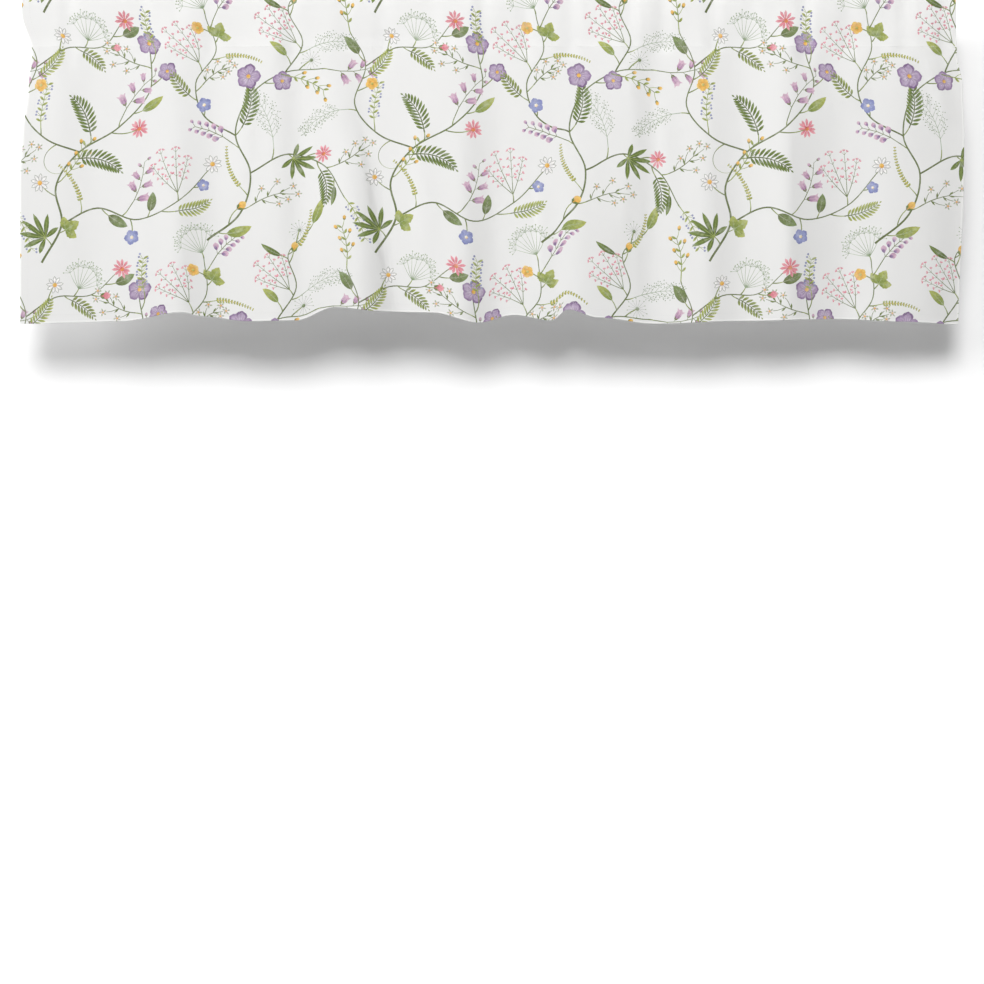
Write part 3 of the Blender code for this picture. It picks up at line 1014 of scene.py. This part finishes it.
# The cloth's looks. Lengths are in metres.
WEAVE_PITCH = 0.00042  # from one thread to the next
WEAVE_RELIEF = 0.00006
WEAVE_BUMP = 0.5
SLUB_ACROSS, SLUB_ALONG = 0.5, 0.006  # how fast a yarn's streaks change across it and along it
POOL_SCALE, POOL_DARKEST = 260.0, 0.64  # where ink pools: how fine, and how dark it gets
POOL_RANGE = (0.3, 0.7)  # the part of the noise over which it does
WASH_SCALE, WASH_MOST = 95.0, 0.18  # where ink thins: how fine, and how pale it gets
WASH_RANGE = (0.5, 0.75)
WASHED_OUT = (0.8, 0.8, 0.78, 1.0)
GROUND = (0.704, 0.702, 0.693, 1.0)
GROUND_SHADED = (0.684, 0.682, 0.673, 1.0)
DOUBLED_AND_PAINTED_LIGHT = (0.781, 0.779, 0.769, 1.0)  # whiter, where the cloth lies double and less shows through it
PAINTED_RIM_WIDTH = 0.0028  # whiter: the cloth's two layers let less show through, and painted light brightens the pocket's front and a rim along the edges
POCKET_PAINTED_LIGHT_RISE = (-0.074, -0.038)  # the heights between which the pocket's front is painted whiter, painted light against the shade of its overhang
POCKET_PAINTED_LIGHT_FALL = (0.006, -0.03)  # and those between which that painted light ends again over the rod
CLOTH_ROUGH = (0.95, 0.8)  # in the weave's hollows and on its threads
CLOTH_SHINE = {"Specular IOR Level": 0.25, "Sheen Weight": 0.08, "Sheen Roughness": 0.5}


def feed(tree, node, inputs):
    """Gives each of a node's inputs its value, or a link from another socket."""
    for socket, value in inputs.items():
        if isinstance(value, bpy.types.NodeSocket):
            tree.links.new(value, node.inputs[socket])
        else:
            node.inputs[socket].default_value = value
    return node


def add_node(tree, kind, inputs=None, **settings):
    made = tree.nodes.new(kind)
    for name, value in settings.items():
        setattr(made, name, value)
    return feed(tree, made, inputs or {})


def sums(tree, operation, *values):
    """A Math node's result."""
    return add_node(tree, "ShaderNodeMath", dict(enumerate(values)), operation=operation).outputs[0]


def scaled(tree, vector, scale):
    inputs = {0: vector, "Scale": scale}
    return add_node(tree, "ShaderNodeVectorMath", inputs, operation="SCALE").outputs[0]


def noise(tree, place, scale, detail, roughness=0.5):
    inputs = {"Vector": place, "Scale": scale, "Detail": detail, "Roughness": roughness}
    return add_node(tree, "ShaderNodeTexNoise", inputs).outputs["Fac"]


def ranged(tree, value, start, end, low=0.0, high=1.0, curve="LINEAR"):
    """A value carried over from one range to another."""
    inputs = {"Value": value, "From Min": start, "From Max": end, "To Min": low, "To Max": high}
    return add_node(tree, "ShaderNodeMapRange", inputs, interpolation_type=curve).outputs["Result"]


def between(tree, share, first, second):
    """A colour between two others."""
    inputs = {"Factor": share, "A": first, "B": second}
    return add_node(tree, "ShaderNodeMix", inputs, data_type="RGBA").outputs["Result"]


def bumped(tree, strength, relief, height):
    inputs = {"Strength": strength, "Distance": relief, "Height": height}
    return add_node(tree, "ShaderNodeBump", inputs).outputs["Normal"]


def new_group(name, takes, gives):
    """A group with sockets of these labels and kinds. Gives also what it takes."""
    group = bpy.data.node_groups.new(name, "ShaderNodeTree")
    for way, sockets in (("INPUT", takes), ("OUTPUT", gives)):
        for label, kind in sockets.items():
            group.interface.new_socket(label, in_out=way, socket_type="NodeSocket" + kind)
    return group, *group.nodes.new("NodeGroupInput").outputs[:len(takes)]


def finished(group, results):
    feed(group, group.nodes.new("NodeGroupOutput"), results)
    return group


def plain_weave():
    """Threads over and under each other, and the faint streaks of uneven yarn."""
    group, place, pitch = new_group("plain weave", {"Cloth Place": "Vector", "Pitch": "Float"},
                                    {"Height": "Float", "Streaks": "Float"})
    threads = scaled(group, place, sums(group, "DIVIDE", math.pi, pitch))
    parts = add_node(group, "ShaderNodeSeparateXYZ", {0: threads})
    wave_across = sums(group, "SINE", parts.outputs["X"])
    wave_up = sums(group, "COSINE", parts.outputs["Y"])
    woven = sums(group, "MULTIPLY", wave_across, wave_up)
    warp = sums(group, "ADD", sums(group, "ABSOLUTE", wave_across), woven)
    weft = sums(group, "SUBTRACT", sums(group, "ABSOLUTE", wave_up), woven)
    streaks = []
    for stretch in ((SLUB_ACROSS, SLUB_ALONG, 1.0), (SLUB_ALONG, SLUB_ACROSS, 1.0)):
        drawn_out = add_node(group, "ShaderNodeVectorMath", {0: threads, 1: stretch},
                             operation="MULTIPLY")
        streaks.append(noise(group, drawn_out.outputs[0], 1.0, 2.0))
    return finished(group, {
        "Height": sums(group, "MULTIPLY", sums(group, "MAXIMUM", warp, weft), 0.5),
        "Streaks": sums(group, "MULTIPLY", sums(group, "ADD", *streaks), 0.5)})


def watercolour():
    """Ink that pools and thins as a brush leaves it."""
    group, place, ink_colour = new_group("watercolour", {"Cloth Place": "Vector", "Ink Colour": "Color"},
                                         {"Colour": "Color"})
    pools = ranged(group, noise(group, place, POOL_SCALE, 3.0, 0.6), *POOL_RANGE, POOL_DARKEST, 1.0)
    washed = ranged(group, noise(group, place, WASH_SCALE, 1.0), *WASH_RANGE, 0.0, WASH_MOST)
    colour = between(group, washed, scaled(group, ink_colour, pools), WASHED_OUT)
    return finished(group, {"Colour": colour})


def doubled_cloth_and_painted_light():
    """Where the cloth is painted whiter: the rod pocket's front, for its two layers and as painted light
    against the shade of its overhang, and a painted bright rim along each turned edge.
    """
    group, place, width = new_group("doubled cloth and painted light", {"Cloth Place": "Vector", "Painted Rim Width": "Float"},
                                    {"Mask": "Float"})
    parts = add_node(group, "ShaderNodeSeparateXYZ", {0: place})
    across, up = parts.outputs["X"], parts.outputs["Y"]
    # A painted bright rim along the sides and the hem, as wide as given
    from_right = sums(group, "SUBTRACT", FLAT_WIDTH * METRES, across)
    from_hem = sums(group, "ADD", up, LENGTH * METRES)
    inwards = sums(group, "MINIMUM", sums(group, "MINIMUM", across, from_right), from_hem)
    edge = sums(group, "SUBTRACT", 1.0, sums(group, "DIVIDE", inwards, width))
    edge = ranged(group, edge, 0.0, 1.0, curve="SMOOTHSTEP")
    # Painted light: the pocket's front turns whiter between these heights, and less again over the rod
    front = ranged(group, up, *POCKET_PAINTED_LIGHT_RISE, curve="SMOOTHSTEP")
    pocket = sums(group, "MINIMUM", front, ranged(group, up, *POCKET_PAINTED_LIGHT_FALL))
    return finished(group, {"Mask": sums(group, "MAXIMUM", edge, pocket)})


def new_material(name):
    made = bpy.data.materials.new(name)
    made.use_nodes = True
    return made, made.node_tree, made.node_tree.nodes["Principled BSDF"]


def printed_cloth_material():
    made, tree, surface = new_material("printed plain-weave cloth")
    place = add_node(tree, "ShaderNodeUVMap", uv_map="flat cloth").outputs["UV"]
    ink = add_node(tree, "ShaderNodeAttribute", attribute_name="print").outputs

    def part(group, label, value):
        inputs = {"Cloth Place": place, label: value}
        return add_node(tree, "ShaderNodeGroup", inputs, node_tree=group).outputs

    woven = part(plain_weave(), "Pitch", WEAVE_PITCH)
    painted = part(watercolour(), "Ink Colour", ink["Color"])
    # The ground is painted whiter on the pocket's front and along the edges: partly for the cloth's two
    # layers, partly as painted light
    double = part(doubled_cloth_and_painted_light(), "Painted Rim Width", PAINTED_RIM_WIDTH)
    ground = between(tree, woven["Streaks"], GROUND, GROUND_SHADED)
    ground = between(tree, double["Mask"], ground, DOUBLED_AND_PAINTED_LIGHT)
    feed(tree, surface, {
        "Base Color": between(tree, ink["Alpha"], ground, painted["Colour"]),
        "Roughness": ranged(tree, woven["Height"], 0.0, 1.0, *CLOTH_ROUGH),
        "Normal": bumped(tree, WEAVE_BUMP, WEAVE_RELIEF, woven["Height"]),
        **CLOTH_SHINE})
    return made


# The stage, in metres
WALL_BEHIND = 0.062  # the wall's distance behind the middle of the rod
FLOOR = -1.9
STAGE_WIDTH = 6.0
STAGE_TOP = 1.6
STAGE_DEPTH = 4.6
COVE = 0.4  # radius between the wall and the floor

WALL_WHITE = (0.97, 0.97, 0.97, 1.0)
FLOOR_PALE = (0.72, 0.72, 0.72, 1.0)

# Suns: the way each one shines, its strength, and how wide it is in degrees
SUNS = (
    ("key light", (0.10, 0.66, -0.62), 1.97, 27),
    ("raking light", (0.90, 0.36, -0.34), 1.48, 26),
    ("back fill", (0.30, -1.0, 0.12), 0.50, 30),
)
OVERHEAD_SIZE = (3.8, 0.5)
OVERHEAD_STRENGTH = 18.2
OVERHEAD_PLACE = (-0.68, -1.0, 0.75)
OVERHEAD_WAY = (0.05, 1.0, -0.98)
ROOM_LIGHT = 0.08  # strength of the light from all round
SEEN_LIGHT = 0.9  # how bright the surroundings look past the stage

# The camera looks straight on. The photo is 984 pixels a side, at 1.38 mm to a pixel, and
# its upper edge lies a little below the valance's top.
VIEW_SIDE = 984 * 1.38 * METRES
VIEW_TOP = -10.6 * METRES
LENS = 85.0
SENSOR = 36.0


def backdrop_material():
    """A white wall over a pale floor. What looks at it from behind sees through it."""
    made, tree, surface = new_material("plain backdrop")
    place = add_node(tree, "ShaderNodeTexCoord")
    parts = add_node(tree, "ShaderNodeSeparateXYZ", {0: place.outputs["Object"]})
    up_wall = ranged(tree, parts.outputs["Z"], FLOOR, FLOOR + COVE)
    feed(tree, surface, {"Base Color": between(tree, up_wall, FLOOR_PALE, WALL_WHITE), "Roughness": 1.0})
    clear = add_node(tree, "ShaderNodeBsdfTransparent")
    behind = add_node(tree, "ShaderNodeNewGeometry")
    either = add_node(tree, "ShaderNodeMixShader",
                      {0: behind.outputs["Backfacing"], 1: surface.outputs[0], 2: clear.outputs[0]})
    feed(tree, tree.nodes["Material Output"], {"Surface": either.outputs[0]})
    return made


def make_backdrop():
    bpy.ops.mesh.primitive_plane_add(size=1.0, location=(0.0, WALL_BEHIND, (STAGE_TOP + FLOOR) / 2),
                                     rotation=(math.pi / 2, 0.0, 0.0))
    backdrop = bpy.context.object
    backdrop.name = "backdrop"
    backdrop.scale = (STAGE_WIDTH, STAGE_TOP - FLOOR, 1.0)
    bpy.ops.object.transform_apply(location=True, rotation=True, scale=True)
    bpy.ops.object.mode_set(mode="EDIT")
    bpy.ops.mesh.select_mode(type="EDGE")
    bpy.ops.mesh.select_all(action="DESELECT")
    bpy.ops.object.mode_set(mode="OBJECT")
    corners = backdrop.data.vertices
    for edge in backdrop.data.edges:
        edge.select = all(corners[end].co.z < FLOOR + COVE for end in edge.vertices)
    bpy.ops.object.mode_set(mode="EDIT")
    bpy.ops.mesh.extrude_region_move(TRANSFORM_OT_translate={"value": (0.0, -STAGE_DEPTH, 0.0)})
    bpy.ops.object.mode_set(mode="OBJECT")
    cove = backdrop.modifiers.new("cove", "BEVEL")
    cove.width = COVE
    cove.segments = 16
    bpy.ops.object.modifier_apply(modifier="cove")
    bpy.ops.object.shade_smooth()
    backdrop.data.materials.append(backdrop_material())
    backdrop.visible_shadow = False


def hold(name, data, turned, place=(0.0, 0.0, 0.0)):
    """A lamp or camera in its place."""
    holder = bpy.data.objects.new(name, data)
    holder.location, holder.rotation_euler = place, turned
    scene.collection.objects.link(holder)
    return holder


def shining(towards):
    return Vector(towards).to_track_quat("-Z", "Y").to_euler()


def light_stage():
    for name, towards, strength, softness in SUNS:
        lamp = bpy.data.lights.new(name, "SUN")
        lamp.energy = strength
        lamp.angle = math.radians(softness)
        hold(name, lamp, shining(towards))
    overhead = bpy.data.lights.new("overhead light", "AREA")
    overhead.shape = "RECTANGLE"
    overhead.size, overhead.size_y = OVERHEAD_SIZE
    overhead.energy = OVERHEAD_STRENGTH
    hold("overhead light", overhead, shining(OVERHEAD_WAY), OVERHEAD_PLACE)
    world = bpy.data.worlds.new("studio")
    world.use_nodes = True
    tree = world.node_tree
    seen = add_node(tree, "ShaderNodeLightPath").outputs["Is Camera Ray"]
    strength = sums(tree, "MULTIPLY_ADD", seen, SEEN_LIGHT - ROOM_LIGHT, ROOM_LIGHT)
    feed(tree, tree.nodes["Background"], {"Color": (1.0, 1.0, 1.0, 1.0), "Strength": strength})
    scene.world = world
    scene.view_settings.view_transform = "Standard"


def place_camera():
    camera = bpy.data.cameras.new("camera")
    camera.lens = LENS
    camera.sensor_width = SENSOR
    place = (0.0, -VIEW_SIDE * LENS / SENSOR, VIEW_TOP - VIEW_SIDE / 2)
    scene.camera = hold("camera", camera, (math.pi / 2, 0.0, 0.0), place)


# The stitches, in millimetres
STITCH_PITCH = 3.1  # from one stitch to the next
STITCH = (2.4, 0.38, 0.26)  # its length, width and height
STITCH_SUNK = 0.02  # how far its middle lies below the cloth's face
HEM_STITCH = 10.6  # from the cloth's edges to the stitches of their turned hems
BACK_STITCH = 1.6  # from the edge of the pocket's back layer to its stitches
LAST_STITCH = 1.0  # from the seam to the nearest stitch of a side hem

THREAD_LIT = (0.70, 0.70, 0.69, 1.0)
THREAD_DEEP = (0.58, 0.58, 0.57, 1.0)
THREAD_SHINE = {"Roughness": 0.7, "Sheen Weight": 0.1}
THREAD_MOTTLE = 900.0  # how fine the thread's uneven colour is
PLY_SCALE = 1100.0  # how fine its plies are, and below how high, in metres
PLY_RELIEF, PLY_BUMP = 0.00008, 0.6


def thread_material():
    """White cotton thread, two plies laid round each other."""
    made, tree, surface = new_material("white cotton thread")
    place = add_node(tree, "ShaderNodeTexCoord").outputs["Object"]
    plies = add_node(tree, "ShaderNodeTexWave", {"Vector": place, "Scale": PLY_SCALE, "Distortion": 1.0},
                     bands_direction="DIAGONAL")
    feed(tree, surface, {
        "Base Color": between(tree, noise(tree, place, THREAD_MOTTLE, 1.0), THREAD_LIT, THREAD_DEEP),
        "Normal": bumped(tree, PLY_BUMP, PLY_RELIEF, plies.outputs["Fac"]),
        **THREAD_SHINE})
    return made


def first_stitch():
    """One stitch as it lies on flat cloth: rounded, and sunk at both ends."""
    bpy.ops.mesh.primitive_uv_sphere_add(segments=6, ring_count=4, radius=0.5,
                                         rotation=(0.0, math.pi / 2, 0.0))
    stitch = bpy.context.object
    bpy.ops.object.transform_apply(location=False, rotation=True, scale=False)
    stitch.scale = STITCH
    bpy.ops.object.transform_apply(location=False, rotation=False, scale=True)
    bpy.ops.object.shade_smooth()
    return stitch


def sew(stitch, place, start, end, behind=0.0):
    """Copies of the stitch along a straight line on the flat cloth, on its face, or this far
    behind it on its back."""
    count = round(math.dist(start, end) / STITCH_PITCH)
    share = (np.arange(count) + 0.5) / count
    spots = mix(start[0], end[0], share), mix(start[1], end[1], share)
    to_right, upwards = slopes(place, *spots)
    out = facing(place, *spots)
    along = upwards if start[0] == end[0] else to_right
    middles = place(*spots) - out * (behind - STITCH_SUNK if behind else STITCH_SUNK)
    copies = []
    for middle, way, face in zip(middles, along, out):
        turned = np.column_stack((way, np.cross(face, way), face)) * METRES
        copy = stitch.copy()
        copy.data = stitch.data.copy()
        rows = [[*row, at] for row, at in zip(turned, middle * METRES)]
        copy.data.transform(Matrix([*rows, [0, 0, 0, 1]]))
        scene.collection.objects.link(copy)
        copies.append(copy)
    return copies


def joined(name, copies):
    bpy.ops.object.select_all(action="DESELECT")
    for copy in copies:
        copy.select_set(True)
    bpy.context.view_layer.objects.active = copies[0]
    bpy.ops.object.join()
    copies[0].name = copies[0].data.name = name
    return copies[0]


def sew_cloth():
    """The stitches of the pocket's seam, front and back, and of the hem and the side hems."""
    stitch = first_stitch()
    seam, hem = [], []
    for place, up in ((drop_place, -POCKET - SEAM_GAP / 2),
                      (pocket_place, POCKET_CLOTH.high - BACK_STITCH)):
        seam += sew(stitch, place, (0.0, up), (FLAT_WIDTH, up))
    hem_up, seam_up = DROP.low + HEM_STITCH, DROP.high - LAST_STITCH
    pocket_ups = POCKET_CLOTH.low + LAST_STITCH, POCKET_CLOTH.high - LAST_STITCH
    for behind in (0.0, CLOTH + TURNED):
        hem += sew(stitch, drop_place, (TURN, hem_up), (FLAT_WIDTH - TURN, hem_up), behind)
        for side in (HEM_STITCH, FLAT_WIDTH - HEM_STITCH):
            hem += sew(stitch, drop_place, (side, hem_up), (side, seam_up), behind)
            hem += sew(stitch, pocket_place, *((side, up) for up in pocket_ups), behind)
    pieces = joined("seam_stitches", seam), joined("hem_stitches", hem)
    bpy.data.objects.remove(stitch)
    return pieces


def dress(piece, material, node=None):
    piece.data.materials.append(material)
    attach(piece, "root")
    if node:
        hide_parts(node)


def main():
    draw_repeat()
    cloth = printed_cloth_material()
    drop = cloth_piece("drop_cloth", DROP, drop_place, column_lines(0.0, FLAT_WIDTH, COLUMN),
                       even_lines(DROP.low, DROP.high, ROW))
    dress(drop, cloth, "drop_panel")
    pocket = cloth_piece("pocket_cloth", POCKET_CLOTH, pocket_place, even_lines(0.0, FLAT_WIDTH, COLUMN),
                         even_lines(POCKET_CLOTH.low, POCKET_CLOTH.high, POCKET_ROW))
    dress(pocket, cloth, "rod_pocket")
    seam, hem = sew_cloth()
    thread = thread_material()
    dress(seam, thread)
    dress(hem, thread)
    make_backdrop()
    light_stage()
    place_camera()


main()
